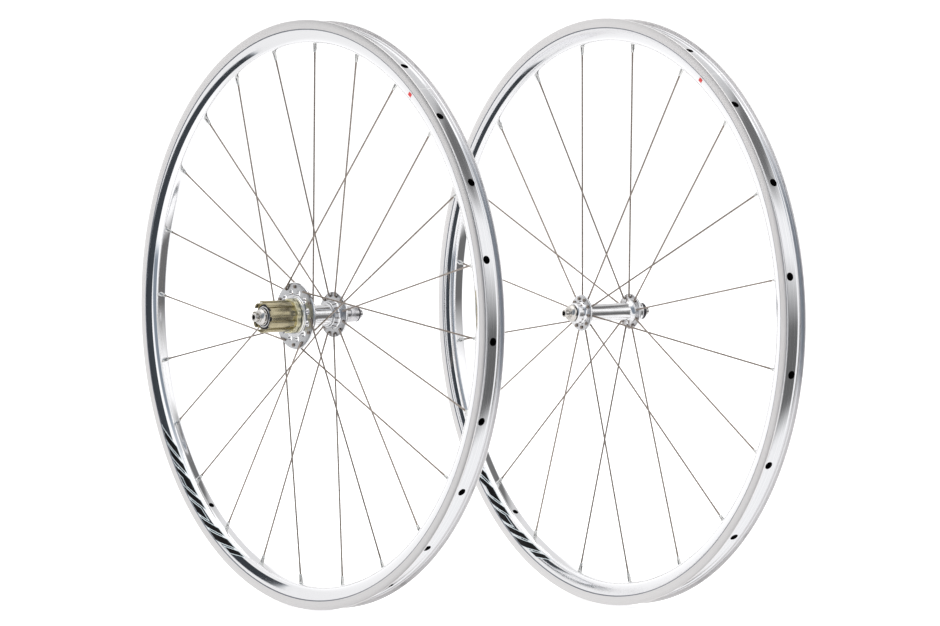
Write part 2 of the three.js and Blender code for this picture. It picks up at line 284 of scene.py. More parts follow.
def distance_from_axle(tree, place):
    parts = node(tree, "ShaderNodeSeparateXYZ", links={"Vector": place})
    flat = node(
        tree,
        "ShaderNodeCombineXYZ",
        links={"X": parts.outputs["X"], "Z": parts.outputs["Z"]},
    )
    length = node(tree, "ShaderNodeVectorMath", {"operation": "LENGTH"}, {0: flat.outputs["Vector"]})
    return length.outputs["Value"], parts


def maths(tree, operation, first, second):
    made = node(tree, "ShaderNodeMath", {"operation": operation})
    for k, value in enumerate((first, second)):
        if isinstance(value, (int, float)):
            made.inputs[k].default_value = value
        elif value is not None:
            tree.links.new(value, made.inputs[k])
    return made.outputs["Value"]


def spread(tree, value, low, high, to_low, to_high):
    made = node(
        tree,
        "ShaderNodeMapRange",
        links={"Value": value},
        inputs={"From Min": low, "From Max": high, "To Min": to_low, "To Max": to_high},
    )
    return made.outputs["Result"]


def blend(tree, factor, low, high):
    """A colour between two hex values."""
    made = node(
        tree,
        "ShaderNodeMix",
        {"data_type": "RGBA"},
        {0: factor},
        {6: linear(low), 7: linear(high)},
    )
    return made.outputs[2]


def bumped(tree, shader, height, strength, distance_mm):
    bump = node(
        tree,
        "ShaderNodeBump",
        links={"Height": height},
        inputs={"Strength": strength, "Distance": distance_mm * MM},
    )
    tree.links.new(bump.outputs["Normal"], shader.inputs["Normal"])


def noise(tree, place, scale, detail=3.0, roughness=0.5):
    made = node(
        tree,
        "ShaderNodeTexNoise",
        links={"Vector": place},
        inputs={"Scale": scale, "Detail": detail, "Roughness": roughness},
    )
    return made.outputs[0]


def lathe_marks(tree, place, scale):
    """Rings left by a cutting tool: noise that only changes with the distance from the axle."""
    radius, parts = distance_from_axle(tree, place)
    rings = node(
        tree,
        "ShaderNodeCombineXYZ",
        links={"X": radius, "Y": parts.outputs["Y"]},
    )
    return noise(tree, rings.outputs["Vector"], scale, detail=2.0)


def seam_mask(tree, place, degrees, width_mm):
    """1 on the thin line where the hooped extrusion's two ends meet."""
    parts = node(tree, "ShaderNodeSeparateXYZ", links={"Vector": place})
    a = math.radians(degrees)
    # distance from the radial plane at that angle, on its own side of the wheel only
    across = maths(
        tree,
        "SUBTRACT",
        maths(tree, "MULTIPLY", parts.outputs["X"], math.sin(a)),
        maths(tree, "MULTIPLY", parts.outputs["Z"], math.cos(a)),
    )
    along = maths(
        tree,
        "ADD",
        maths(tree, "MULTIPLY", parts.outputs["X"], math.cos(a)),
        maths(tree, "MULTIPLY", parts.outputs["Z"], math.sin(a)),
    )
    near = maths(
        tree, "LESS_THAN", maths(tree, "ABSOLUTE", across, None), width_mm / 2 * MM
    )
    return maths(tree, "MULTIPLY", near, maths(tree, "GREATER_THAN", along, 0.1))


def rim_finishes(wheel, name):
    """6000-series aluminium: a machined brake track, polished walls and a tyre bed as extruded."""
    # Brake track: turned after welding, so it keeps fine rings and a soft grey glow.
    track, tree, shader = finish(f"machined_brake_track_{name}", "#dcdbdc", 1.0, 0.3)
    place = wheel_place(tree, wheel)
    # the real rings are about 0.15 mm apart; they are drawn 0.6 mm apart so that they show
    rings = lathe_marks(tree, place, 1700)
    tint = spread(tree, rings, 0.3, 0.7, 0.0, 1.0)
    tree.links.new(blend(tree, tint, "#dedcdc", "#e6e4e4"), shader.inputs["Base Color"])
    tree.links.new(spread(tree, rings, 0.3, 0.7, 0.26, 0.34), shader.inputs["Roughness"])

    # Walls: buffed to a mirror. Broad, faint unevenness from the buffing wheel.
    wall, tree, shader = finish(f"polished_rim_wall_{name}", "#e9eaec", 1.0, 0.07)
    place = wheel_place(tree, wheel)
    cloudy = noise(tree, place, 45, detail=4.0)
    tree.links.new(spread(tree, cloudy, 0.3, 0.7, 0.05, 0.11), shader.inputs["Roughness"])
    seam = seam_mask(tree, place, wheel["valve"] + 180, 0.35)
    tree.links.new(blend(tree, seam, "#ececee", "#8d8e90"), shader.inputs["Base Color"])

    # Tyre bed: left as it was extruded, so it is greyer, with drawn lines along the hoop.
    bed, tree, shader = finish(f"extruded_tyre_bed_{name}", "#dcdde0", 1.0, 0.16)
    place = wheel_place(tree, wheel)
    parts = node(tree, "ShaderNodeSeparateXYZ", links={"Vector": place})
    lines = node(tree, "ShaderNodeCombineXYZ", links={"X": parts.outputs["Y"]})
    # draw lines about 0.8 mm apart across the bed
    drawn = noise(tree, lines.outputs["Vector"], 900, detail=3.0)
    seam = seam_mask(tree, place, wheel["valve"] + 180, 0.7)
    plain = blend(tree, spread(tree, drawn, 0.3, 0.7, 0.0, 1.0), "#cfd0d3", "#e8e8ea")
    mixed = node(tree, "ShaderNodeMix", {"data_type": "RGBA"}, {0: seam, 6: plain})
    mixed.inputs[7].default_value = linear("#fafafa")
    tree.links.new(mixed.outputs[2], shader.inputs["Base Color"])
    tree.links.new(spread(tree, drawn, 0.3, 0.7, 0.1, 0.2), shader.inputs["Roughness"])
    bumped(tree, shader, drawn, 0.06, 0.04)
    return track, wall, bed


def polished_hub(wheel, name):
    """Forged aluminium, turned and then polished: mirror-like, with faint turning rings."""
    material, tree, shader = finish(f"polished_hub_{name}", "#e4e4e6", 1.0, 0.13)
    place = wheel_place(tree, wheel)
    rings = lathe_marks(tree, place, 1500)
    cloudy = noise(tree, place, 160)
    tree.links.new(spread(tree, rings, 0.25, 0.75, 0.09, 0.2), shader.inputs["Roughness"])
    tree.links.new(
        blend(tree, spread(tree, cloudy, 0.3, 0.7, 0.0, 1.0), "#dedee0", "#eaeaec"),
        shader.inputs["Base Color"],
    )
    return material


def machined(wheel, name, low, high, roughness):
    """Turned and left bright: the tool's rings are plain to see."""
    material, tree, shader = finish(f"machined_{name}", high, 1.0, roughness)
    place = wheel_place(tree, wheel)
    rings = lathe_marks(tree, place, 2600)
    tree.links.new(
        blend(tree, spread(tree, rings, 0.3, 0.7, 0.0, 1.0), low, high),
        shader.inputs["Base Color"],
    )
    tree.links.new(
        spread(tree, rings, 0.3, 0.7, roughness - 0.06, roughness + 0.08),
        shader.inputs["Roughness"],
    )
    bumped(tree, shader, rings, 0.05, 0.02)
    return material


def drawn_stainless():
    """Cold-drawn stainless wire: bright, a little warm, with faint lines along it."""
    material, tree, shader = finish("drawn_stainless_wire", "#a8a19b", 1.0, 0.3)
    coords = node(tree, "ShaderNodeTexCoord")
    grain = noise(tree, coords.outputs["Object"], 400, detail=4.0)
    tree.links.new(
        blend(tree, spread(tree, grain, 0.3, 0.7, 0.0, 1.0), "#857a72", "#a69b93"),
        shader.inputs["Base Color"],
    )
    tree.links.new(spread(tree, grain, 0.3, 0.7, 0.22, 0.38), shader.inputs["Roughness"])
    return material


def plated_brass():
    """Nickel-plated brass nipples: bright silver, softened by handling."""
    material, tree, shader = finish("nickel_plated_brass", "#d9d9d8", 1.0, 0.2)
    coords = node(tree, "ShaderNodeTexCoord")
    grain = noise(tree, coords.outputs["Object"], 700)
    tree.links.new(spread(tree, grain, 0.3, 0.7, 0.14, 0.3), shader.inputs["Roughness"])
    tree.links.new(
        blend(tree, spread(tree, grain, 0.35, 0.65, 0.0, 1.0), "#cfcfcd", "#e4e4e3"),
        shader.inputs["Base Color"],
    )
    return material


def hard_anodised(name, low, high, roughness):
    """Hard-anodised aluminium: a thin champagne film, satin, with the metal shining through."""
    material, tree, shader = finish(name, high, 1.0, roughness)
    coords = node(tree, "ShaderNodeTexCoord")
    broad = noise(tree, coords.outputs["Object"], 90)
    tree.links.new(
        blend(tree, spread(tree, broad, 0.3, 0.7, 0.0, 1.0), low, high),
        shader.inputs["Base Color"],
    )
    tree.links.new(
        spread(tree, broad, 0.3, 0.7, roughness - 0.03, roughness + 0.03),
        shader.inputs["Roughness"],
    )
    return material


def shaded_bore():
    """Painted shade: bare metal deep inside a drilled hole, where no light returns, drawn near black and
    matt.
    """
    material, tree, shader = finish("shaded_hole_walls", "#0a090b", 0.0, 0.7)
    coords = node(tree, "ShaderNodeTexCoord")
    grain = noise(tree, coords.outputs["Object"], 600)
    tree.links.new(
        blend(tree, spread(tree, grain, 0.3, 0.7, 0.0, 1.0), "#070608", "#0f0d10"),
        shader.inputs["Base Color"],
    )
    shader.inputs["Specular IOR Level"].default_value = 0.1
    return material


def seal_rubber():
    """Moulded nitrile rubber: near black and matt, with a faint bloom."""
    material, tree, shader = finish("moulded_nitrile_rubber", "#1b1b1d", 0.0, 0.6)
    coords = node(tree, "ShaderNodeTexCoord")
    grain = noise(tree, coords.outputs["Object"], 900)
    tree.links.new(
        blend(tree, spread(tree, grain, 0.3, 0.7, 0.0, 1.0), "#161618", "#242427"),
        shader.inputs["Base Color"],
    )
    bumped(tree, shader, grain, 0.2, 0.05)
    return material


def satin_metal(name, low, high):
    """Cut or ground metal with no polish, as on bearings, pawls and knurls: a fine satin grain. The rim's
    groove uses it for painted shade, and the axles' end rings for a painted dark reflection.
    """
    material, tree, shader = finish(name, high, 1.0, 0.35)
    coords = node(tree, "ShaderNodeTexCoord")
    grain = noise(tree, coords.outputs["Object"], 1100, detail=4.0)
    tree.links.new(
        blend(tree, spread(tree, grain, 0.3, 0.7, 0.0, 1.0), low, high),
        shader.inputs["Base Color"],
    )
    tree.links.new(spread(tree, grain, 0.3, 0.7, 0.28, 0.42), shader.inputs["Roughness"])
    return material


def printed_film(name, low, high, roughness=0.28):
    """Screen-printed vinyl film: a soft sheen, with a slight orange peel."""
    material, tree, shader = finish(name, high, 0.0, roughness, coat=0.1)
    coords = node(tree, "ShaderNodeTexCoord")
    peel = noise(tree, coords.outputs["Object"], 500)
    tree.links.new(
        blend(tree, spread(tree, peel, 0.3, 0.7, 0.0, 1.0), low, high),
        shader.inputs["Base Color"],
    )
    shader.inputs["Specular IOR Level"].default_value = 0.15
    bumped(tree, shader, peel, 0.06, 0.05)
    return material


def dress(obj, *materials):
    obj.data.materials.clear()
    for material in materials:
        obj.data.materials.append(material)


def assign_faces(obj, chooser):
    """Gives each face the material slot that chooser(middle, normal) names."""
    for face in obj.data.polygons:
        face.material_index = chooser(face.center, face.normal)


# ---- rims ----

# The polished wall's part of the section, from the spoke bed's corner out to the brake track.
WALL_HALF = [
    (295.5, 8.45), (296.8, 9.2), (298.3, 9.84), (300.0, 10.41),
    (301.7, 10.9), (303.4, 11.33), (305.0, 11.68), (306.2, 11.9),
]
BED_CORNER = [(293.4, 6.5), (294.3, 7.5)]
TRACK_INNER = 307.3
TRACK_HALF_WIDTH = 12.5
WELL = 311.6
# One half of the section, from the middle of the spoke bed round the outside to the tyre well.
RIM_HALF = [
    # the spoke bed
    (BED, 0), (292.44, 2.0), (292.54, 3.9), (292.8, 5.3), *BED_CORNER, *WALL_HALF,
    # the groove, and the brake track's face
    (306.6, 11.75), (307.0, 11.85), (TRACK_INNER, TRACK_HALF_WIDTH),
    (311.0, TRACK_HALF_WIDTH), (315.9, TRACK_HALF_WIDTH),
    # the hook
    (316.5, 12.36), (316.88, 12.0), (317.0, 11.6), (316.85, 11.2), (316.4, 10.95),
    (315.6, 10.85), (314.6, 10.95), (313.6, 11.0), (312.9, 10.9), (312.5, 10.4),
    # the bead's shelf and the well
    (312.4, 9.6), (312.4, 7.8), (312.3, 7.2), (311.95, 6.5), (311.7, 5.9), (WELL, 5.2), (WELL, 0),
]
RIM_STEPS = 288
# Each outer hole lets a spanner in and stops short of the spoke bed. They lie on the spokes'
# lines, so they step from side to side.
OUTER_HOLE = {"radius": 4.2, "from": 299, "to": 315, "offset": 1.5}
VALVE_HOLE = {"radius": 3.3, "from": 290, "to": 315}
HOLE_SIDES = 28


def part_of_section(middle, _normal):
    """The material slot of a face of the rim, in the order that rim() dresses it in."""
    track, wall, tyre_bed, hole, groove = range(5)
    radius = from_axle(middle)
    across = abs(middle.y) / MM
    on_track = radius > TRACK_INNER and across > 11.95
    in_hook = radius > 312.6 and across > 10.8
    if on_track or in_hook:
        return track
    # the drilled holes' walls take the near-black painted shade
    if across < 6 and 297.6 < radius < WELL - 0.3:
        return hole
    # the groove's step is drawn darker grey: painted shade along the track's inner edge
    if 306.3 < radius < TRACK_INNER and across > 11.5:
        return groove
    return tyre_bed if radius > 308 else wall


def rim(name, node_name, wheel):
    piece = turned(name, both_sides(RIM_HALF), RIM_STEPS)
    cutters = []
    for k in range(wheel["spokes"]):
        across = OUTER_HOLE["offset"] if k % 2 == 0 else -OUTER_HOLE["offset"]
        cutters.append(spoke_way_rod(OUTER_HOLE, nipple_angle(wheel, k), across))
    cutters.append(spoke_way_rod(VALVE_HOLE, wheel["valve"]))
    cut_with(piece, cutters)
    smooth(piece, 28)
    dress(piece, *rim_finishes(wheel, name), HOLE_PAINTED_SHADE, GROOVE_PAINTED_SHADE)
    assign_faces(piece, part_of_section)
    in_wheel(piece, wheel)
    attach(piece, wheel["body"])
    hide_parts(node_name)


# ---- spokes and nipples ----

WIRE = 1.0  # radius at the butted ends
WIRE_MIDDLE = 0.88
BUTT = 12  # length of wire at each end before its taper starts
TAPER = 8
# the head's outer face, then each ring of it as (step inwards, radius)
HEAD_FACE = 0.9
HEAD_HEIGHT = 1.35
HEAD_RINGS = ((0.25, 1.7), (0.45, 2.0), (0.45, 1.9))
ELBOW = 1.7  # from the flange's face to where the wire's two lines would meet
ELBOW_RADIUS = 1.5


def grow(offset, scale, centre):
    """Extrudes the selected end, then sizes it about its own centre."""
    bpy.ops.mesh.extrude_region_move(
        TRANSFORM_OT_translate={"value": [v * MM for v in offset]}
    )
    if scale != 1:
        bpy.ops.transform.resize(
            value=(scale, scale, scale), center_override=[v * MM for v in centre]
        )


def wire_pattern(name, half_flange, lean, length):
    """One spoke, modelled with its pin along Y through zero and its wire towards +X.

    The head is at +Y and the elbow at -Y. lean is the wire's angle from +X towards +Y."""
    at = half_flange + 0.15 + HEAD_HEIGHT
    bpy.ops.mesh.primitive_circle_add(
        vertices=12,
        radius=HEAD_FACE * MM,
        fill_type="NGON",
        location=(0, at * MM, 0),
        rotation=(math.pi / 2, 0, 0),
    )
    piece = added(name)
    edit(piece)
    bpy.ops.mesh.select_all(action="SELECT")
    size = HEAD_FACE
    for step, radius in (*HEAD_RINGS, (0.2, WIRE)):
        at -= step
        grow((0, -step, 0), radius / size, (0, at, 0))
        size = radius
    bend = math.pi / 2 + lean  # from -Y round to the wire's own direction
    tangent = ELBOW_RADIUS * math.tan(bend / 2)
    corner = -(half_flange + ELBOW)
    start = corner + tangent
    grow((0, start - at, 0), 1, (0, start, 0))
    bpy.ops.mesh.spin(
        steps=6,
        angle=-bend,
        center=(ELBOW_RADIUS * MM, start * MM, 0),
        axis=(0, 0, 1),
    )
    way = Vector((math.cos(lean), math.sin(lean), 0))
    place = Vector((0, corner, 0)) + way * tangent
    thin = length - 46
    for step, size in ((BUTT, 1), (TAPER, WIRE_MIDDLE / WIRE), (thin, 1), (TAPER, WIRE / WIRE_MIDDLE)):
        place = place + way * step
        grow(way * step, size, place)
    last = Vector((0, corner, 0)) + way * length
    grow(last - place, 1, last)
    bpy.ops.mesh.select_all(action="SELECT")
    bpy.ops.mesh.normals_make_consistent(inside=False)
    leave_edit()
    apply_place(piece)
    smooth(piece, 40)
    return piece


# The nipple's end towards the hub, measured from the spoke bed, and each ring as (step, radius).
NIPPLE_END = -9.6
NIPPLE_MOUTH = 1.35
NIPPLE_RINGS = (
    (0.35, 1.65), (2.6, 1.75), (0.35, 2.0), (0.3, 2.1), (5.2, 2.1), (0.5, 2.6), (0.8, 2.75), (0.9, 2.6),
)
NIPPLE_FLATS = {"from": -8.9, "to": -2.4, "half": 1.62}


def nipple_pattern(name):
    """A nipple along +X, with zero at the face of the spoke bed: square flats, a round collar, a cone."""
    bpy.ops.mesh.primitive_circle_add(
        vertices=16,
        radius=NIPPLE_MOUTH * MM,
        fill_type="NGON",
        location=(NIPPLE_END * MM, 0, 0),
        rotation=(0, math.pi / 2, 0),
    )
    piece = added(name)
    edit(piece)
    bpy.ops.mesh.select_all(action="SELECT")
    at = NIPPLE_END
    size = NIPPLE_MOUTH
    for step, radius in NIPPLE_RINGS:
        at += step
        grow((step, 0, 0), radius / size, (at, 0, 0))
        size = radius
    bpy.ops.mesh.select_all(action="SELECT")
    bpy.ops.mesh.normals_make_consistent(inside=False)
    leave_edit()
    apply_place(piece)
    # press four flats into the body, as the key leaves them
    for vertex in piece.data.vertices:
        if NIPPLE_FLATS["from"] < vertex.co.x / MM < NIPPLE_FLATS["to"]:
            limit = NIPPLE_FLATS["half"] * MM
            vertex.co.y = max(-limit, min(limit, vertex.co.y))
            vertex.co.z = max(-limit, min(limit, vertex.co.z))
    smooth(piece, 30)
    return piece


def spoke_line(flange, flange_angle, rim_angle, head_outside):
    """The wire's corner at the flange, where it meets the rim, and the elbow's side of the flange."""
    centre = (flange["outer"] + flange["inner"]) / 2
    half = abs(flange["outer"] - flange["inner"]) / 2
    outwards = 1 if flange["outer"] > flange["inner"] else -1
    elbow_side = -outwards if head_outside else outwards
    a, b = math.radians(flange_angle), math.radians(rim_angle)
    hole = Vector((flange["circle"] * math.cos(a), centre, flange["circle"] * math.sin(a)))
    corner = hole + Vector((0, elbow_side * (half + ELBOW), 0))
    target = Vector((BED * math.cos(b), 0, BED * math.sin(b)))
    return hole, corner, target, elbow_side, half


WIRE_PAST_BED = 1.2
spoke_patterns = {}


def placed(pattern, name, axes, origin):
    """A copy of a pattern whose own X, Y and Z are laid along axes, with its zero at origin."""
    piece = copy_of(pattern, name)
    turn = Matrix(axes).transposed()
    matrix = turn.to_4x4()
    matrix.translation = origin * MM
    piece.matrix_world = matrix
    apply_place(piece)
    return piece


def spoke(name, flange, flange_angle, rim_angle, head_outside, kind, wheel):
    hole, corner, target, elbow_side, half = spoke_line(
        flange, flange_angle, rim_angle, head_outside
    )
    wire = target - corner
    flat = Vector((wire.x, 0, wire.z))
    length = wire.length + WIRE_PAST_BED
    pin = Vector((0, -elbow_side, 0))
    lean = math.atan2(-elbow_side * wire.y, flat.length)
    if kind not in spoke_patterns:
        spoke_patterns[kind] = wire_pattern(f"pattern_{kind}", half, lean, length)
    out = flat.normalized()
    piece = placed(spoke_patterns[kind], name, (out, pin, out.cross(pin)), hole)
    dress(piece, WIRE_FINISH)
    in_wheel(piece, wheel)
    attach(piece, wheel["body"])
    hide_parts(name.replace("_wire", ""))
    # the nipple lies on the wire's own line
    along = wire.normalized()
    side = along.cross(Vector((0, 1, 0))).normalized()
    return placed(nipple_master, f"{name}_nipple", (along, side.cross(along), side), target)


def nipples_of(nipples, name, wheel):
    piece = joined(nipples, name)
    dress(piece, NIPPLE_FINISH)
    in_wheel(piece, wheel)
    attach(piece, wheel["body"])


def lace_rear():
    """The drive side is crossed, with its heads outside and inside by turns. The other is radial."""
    nipples = []
    for k in range(REAR["spokes"] // 2):
        drive_name = f"rear_spoke_drive_{k + 1:02d}_wire"
        other_name = f"rear_spoke_other_{k + 1:02d}_wire"
        drive = nipple_angle(REAR, 2 * k)
        other = nipple_angle(REAR, 2 * k + 1)
        head_outside = k % 2 == 1
        hub = drive - DRIVE_CROSSING if head_outside else drive + DRIVE_CROSSING
        kind = "drive_head_out" if head_outside else "drive_head_in"
        nipples.append(spoke(drive_name, DRIVE_FLANGE, hub, drive, head_outside, kind, REAR))
        nipples.append(spoke(other_name, OTHER_FLANGE, other, other, True, "other", REAR))
    nipples_of(nipples, "rear_nipples", REAR)


def lace_front():
    """Both sides are radial, with every head outside."""
    nipples = []
    for k in range(FRONT["spokes"] // 2):
        left_name = f"front_spoke_left_{k + 1:02d}_wire"
        right_name = f"front_spoke_right_{k + 1:02d}_wire"
        left = nipple_angle(FRONT, 2 * k)
        right = nipple_angle(FRONT, 2 * k + 1)
        nipples.append(spoke(left_name, LEFT_FLANGE, left, left, True, "front", FRONT))
        nipples.append(spoke(right_name, RIGHT_FLANGE, right, right, True, "front", FRONT))
    nipples_of(nipples, "front_nipples", FRONT)


# ---- hubs ----


def holes(circle, first, count, radius, low, high, sides=24):
    cutters = []
    for k in range(count):
        a = math.radians(first + 360 / count * k)
        at = (circle * math.cos(a), 0, circle * math.sin(a))
        cutters.append(rod(radius, low, high, sides, at))
    return cutters


def flange_face(middle, normal):
    """The flat faces of a flange are turned, not polished."""
    return 1 if abs(normal.y) > 0.9 and from_axle(middle) > 12.7 else 0


def rear_hub():
    outline = [
        (19.8, -20.8), (19.8, -18.6), (20.2, -18.2), (34.6, -18.2), (35.5, -17.9), (36.0, -17.2),
        (36.0, -16.0), (35.5, -15.3), (34.6, -15.0), (21.4, -15.0), (20.2, -14.7), (18.9, -13.6),
        (17.2, -11.2), (15.0, -7.4), (13.2, -3.4), (12.0, 0.4), (11.4, 3.6), (11.2, 6.0),
        (11.2, 23.0), (11.3, 24.2), (12.1, 24.9), (13.6, 25.2), (14.2, 25.8), (14.2, 29.2),
        (14.5, 31.6), (15.0, 32.6), (15.6, 33.0), (23.6, 33.0), (24.5, 33.3), (24.9, 34.0),
        (24.9, 35.0), (24.5, 35.7), (23.6, 36.0), (14.8, 36.0), (14.4, 36.3), (14.0, 39.6),
        (13.6, 43.2), (13.0, 43.6), (10.8, 43.6), (10.8, 37.6), (8.0, 37.6), (8.0, -4.8),
        (12.3, -4.8), (12.3, -11.4), (14.6, -11.4), (14.6, -20.8),
    ]
    piece = turned("rear_hub_body", outline, 144)
    first = nipple_angle(REAR, 0)
    per_side = REAR["spokes"] // 2
    cutters = holes(DRIVE_FLANGE["circle"], first, per_side, SPOKE_HOLE, -22, -12)
    # a ring of larger holes lightens the drive flange
    cutters += holes(25.3, first + 15, per_side, 3.5, -22, -12)
    cutters += holes(OTHER_FLANGE["circle"], nipple_angle(REAR, 1), per_side, SPOKE_HOLE, 31, 38)
    cut_with(piece, cutters)
    smooth(piece, 30)
    flanges = machined(REAR, "rear_flanges", "#bfc0c3", "#cbccce", 0.3)
    dress(piece, polished_hub(REAR, "rear"), flanges)
    assign_faces(piece, flange_face)
    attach(piece, "rear_wheel")
    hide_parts("rear_hub_shell")
    # two stepped rings between the flange and the freehub body
    collar = turned(
        "rear_drive_collar",
        [(19.85, -20.6), (19.85, -18.35), (22.6, -18.35), (22.9, -18.9), (22.5, -19.5),
         (21.4, -19.6), (21.2, -20.2), (20.9, -20.6)],
        120,
    )
    smooth(collar, 30)
    dress(collar, machined(REAR, "drive_collar", "#cfd0d2", "#e8e8ea", 0.16))
    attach(collar, "rear_wheel")


def front_hub():
    half = [
        (9.5, 0.0), (9.5, 25.6), (9.7, 26.6), (10.4, 28.0), (11.6, 29.6), (12.6, 30.6),
        (13.6, 31.1), (14.2, 31.2), (18.5, 31.2), (19.2, 31.5), (19.5, 32.1), (19.5, 33.1),
        (19.2, 33.7), (18.5, 34.0), (12.9, 34.0), (12.6, 34.2), (12.3, 35.4), (11.9, 36.0),
        (11.4, 36.6), (11.2, 38.6), (11.0, 42.6), (10.7, 43.6), (10.2, 44.2), (8.8, 44.2),
        (8.8, 37.0), (6.4, 37.0), (6.4, 0.0),
    ]
    outline = [(r, y) for r, y in half[:-1]] + [(r, -y) for r, y in reversed(half[1:-1])]
    piece = turned("front_hub_body", outline, 144)
    per_side = FRONT["spokes"] // 2
    left, right = nipple_angle(FRONT, 0), nipple_angle(FRONT, 1)
    cutters = holes(LEFT_FLANGE["circle"], left, per_side, SPOKE_HOLE, -36, -30)
    cutters += holes(RIGHT_FLANGE["circle"], right, per_side, SPOKE_HOLE, 30, 36)
    cut_with(piece, cutters)
    smooth(piece, 30)
    flanges = machined(FRONT, "front_flanges", "#d6d6d8", "#e2e2e4", 0.3)
    dress(piece, polished_hub(FRONT, "front"), flanges)
    assign_faces(piece, flange_face)
    in_wheel(piece, FRONT)
    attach(piece, "front_wheel")
    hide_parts("front_hub_shell")


# ---- axles and end caps ----


def end_ring(low, high):
    """Chooses the knurled ring near an axle's end, between two heights along the axle. Its near-black colour
    is a painted dark reflection.
    """

    def choose(middle, _normal):
        return 1 if from_axle(middle) > 8.1 and low < middle.y / MM < high else 0

    return choose


def axles():
    rear_axle = turned(
        "rear_axle_and_end",
        [(5.0, -63.4), (5.0, -56.7), (6.0, -56.7), (6.0, 44.2), (8.3, 44.2), (8.7, 44.6),
         (8.7, 50.6), (8.2, 51.0), (8.2, 52.2), (8.7, 52.6), (8.9, 53.0), (8.9, 62.8),
         (8.6, 63.2), (8.6, 63.6), (8.9, 63.9), (8.9, 64.5), (8.4, 65.0), (4.9, 65.0), (4.9, 70.4),
         (4.5, 70.8), (2.65, 70.8), (2.65, -63.4)],
        96,
    )
    smooth(rear_axle, 30)
    dress(rear_axle, machined(REAR, "rear_axle", "#b9b8ba", "#d6d5d7", 0.18), END_RING_PAINTED_REFLECTION)
    assign_faces(rear_axle, end_ring(62.9, 64.8))
    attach(rear_axle, "rear_axle_set")
    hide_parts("rear_axle")

    rear_cap = turned(
        "rear_drive_cap",
        [(2.65, -70.8), (4.5, -70.8), (4.9, -70.4), (4.9, -65.2), (5.2, -65.0), (7.0, -65.0),
         (7.4, -64.7), (8.6, -62.4), (8.9, -61.6), (8.9, -60.6), (8.5, -60.3), (8.5, -59.8),
         (9.2, -59.4), (9.2, -57.6), (5.3, -57.6), (5.3, -63.8), (2.65, -63.8)],
        96,
    )
    smooth(rear_cap, 30)
    dress(rear_cap, machined(REAR, "rear_drive_cap", "#bfbcb9", "#dcdad8", 0.18))
    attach(rear_cap, "rear_axle_set")
    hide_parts("rear_end_cap_drive")

    front_axle = turned(
        "front_axle_and_end",
        [(3.8, -48.4), (3.8, -44.4), (4.5, -44.4), (4.5, 44.6), (8.6, 44.6), (9.1, 45.0),
         (9.1, 48.9), (8.8, 49.2), (8.2, 50.0), (4.4, 50.0), (4.4, 55.4), (4.1, 55.8),
         (2.65, 55.8), (2.65, -48.4)],
        96,
    )
    smooth(front_axle, 30)
    dress(front_axle, machined(FRONT, "front_axle", "#b9b6b4", "#d8d5d2", 0.18), END_RING_PAINTED_REFLECTION)
    assign_faces(front_axle, end_ring(45.4, 49.3))
    in_wheel(front_axle, FRONT)
    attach(front_axle, "front_axle_set")
    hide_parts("front_axle")

    front_cap = turned(
        "front_left_cap",
        [(2.65, -55.8), (4.1, -55.8), (4.4, -55.4), (4.4, -50.2), (4.7, -50.0), (6.8, -50.0),
         (7.3, -49.6), (8.8, -47.4), (9.1, -46.6), (9.1, -45.1), (8.8, -44.7), (4.1, -44.7),
         (4.1, -48.8), (2.65, -48.8)],
        96,
    )
    smooth(front_cap, 30)
    dress(front_cap, machined(FRONT, "front_left_cap", "#c3bfba", "#dedad5", 0.14))
    in_wheel(front_cap, FRONT)
    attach(front_cap, "front_axle_set")
    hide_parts("front_end_cap_left")


# ---- freehub body ----

SPLINES = 9


# One spline's outline as (share of its pitch, radius): a wide crest with rounded shoulders, then
# a flat-bottomed groove. The stop flange's scallops follow the same pitch.
SPLINE = (
    (0.0, 15.0), (0.012, 16.7), (0.03, 17.05), (0.1, 17.2), (0.2, 17.2), (0.3, 17.2), (0.4, 17.2),
    (0.5, 17.2), (0.57, 17.05), (0.588, 16.7), (0.6, 15.0), (0.7, 14.9), (0.8, 14.9), (0.9, 14.9),
)
SCALLOP = (
    (0.0, 18.3), (0.16, 18.8), (0.3, 18.8), (0.44, 18.8), (0.6, 18.3), (0.7, 17.6), (0.8, 17.6), (0.9, 17.6),
)


def around_splines(profile):
    """The (x, z) points of a profile that repeats once for each spline."""
    points = []
    pitch = 360 / SPLINES
    for k in range(SPLINES):
        for share, radius in profile:
            a = math.radians(k * pitch + pitch * share)
            points.append((radius * math.cos(a), radius * math.sin(a)))
    return points


def extruded_outline(name, points, start, end):
    """A closed (x, z) outline given length along Y."""
    bpy.ops.mesh.primitive_circle_add(vertices=len(points), radius=MM, fill_type="NGON")
    piece = added(name)
    for vertex, (x, z) in zip(piece.data.vertices, points):
        vertex.co = (x * MM, start * MM, z * MM)
    edit(piece)
    bpy.ops.mesh.select_all(action="SELECT")
    bpy.ops.mesh.extrude_region_move(
        TRANSFORM_OT_translate={"value": (0, (end - start) * MM, 0)}
    )
    bpy.ops.mesh.select_all(action="SELECT")
    bpy.ops.mesh.normals_make_consistent(inside=False)
    leave_edit()
    return piece


